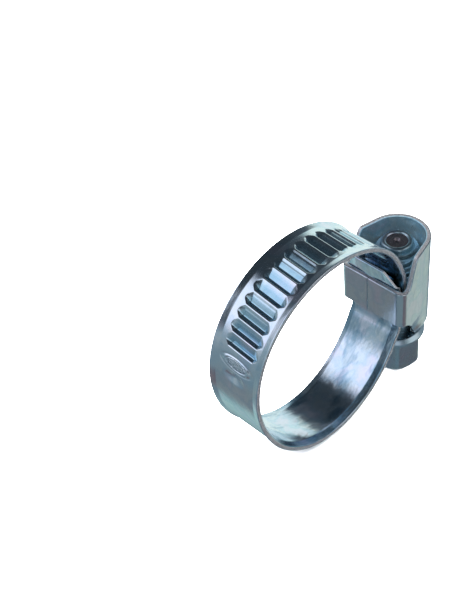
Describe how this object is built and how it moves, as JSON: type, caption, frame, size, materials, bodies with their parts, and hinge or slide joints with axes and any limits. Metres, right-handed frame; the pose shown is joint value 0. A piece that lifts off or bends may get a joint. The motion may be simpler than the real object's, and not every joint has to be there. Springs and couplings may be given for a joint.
{
  "type": "hose clamp",
  "caption": "Worm-drive hose clamp: a slotted hexagon screw draws the grooved end of a zinc-plated steel band through a folded sheet housing to tighten the ring.",
  "frame": {"origin": "centre of the ring, on the ring's axis at the middle of the band's width", "axes": "+Y along the ring's axis, +X from the centre to the housing, +Z along the screw from its head to its pilot tip"},
  "size_m": [0.0394, 0.0116, 0.0346],
  "materials": {
    "zinc_band": "bright blue-passivated zinc plating, smooth, with sheared grey edges",
    "zinc_housing": "blue-passivated zinc plating, satin",
    "zinc_screw": "zinc plating, warm grey, lightly scuffed"
  },
  "bodies": {
    "housing": {"housing": "zinc_housing", "band_fixed_quarter": "zinc_band"},
    "screw": {"worm_screw": "zinc_screw"},
    "band_lower": {"band_lower_quarter": "zinc_band"},
    "band_upper": {"band_upper_quarter": "zinc_band"},
    "band_end": {"band_grooved_end": "zinc_band"}
  },
  "joints": [
    {"name": "screw_turn", "type": "hinge", "parent": "housing", "child": "screw", "pos_m": [0.01885, 0, 0], "axis": [0, 0, 1], "range_deg": [-720, 360]},
    {"name": "flex_bottom", "type": "hinge", "parent": "housing", "child": "band_lower", "pos_m": [0, 0, -0.01625], "axis": [0, 1, 0], "range_deg": [-4, 8]},
    {"name": "flex_left", "type": "hinge", "parent": "band_lower", "child": "band_upper", "pos_m": [-0.01496, 0, -0.00026], "axis": [0, 1, 0], "range_deg": [-16, 8]},
    {"name": "flex_top", "type": "hinge", "parent": "band_upper", "child": "band_end", "pos_m": [0, 0, 0.01571], "axis": [0, 1, 0], "range_deg": [-4, 8]}
  ],
  "couplings": [
    {"joint": "flex_bottom", "follows": "screw_turn", "ratio": -0.010991},
    {"joint": "flex_left", "follows": "screw_turn", "ratio": 0.021982},
    {"joint": "flex_top", "follows": "screw_turn", "ratio": -0.010991}
  ]
}
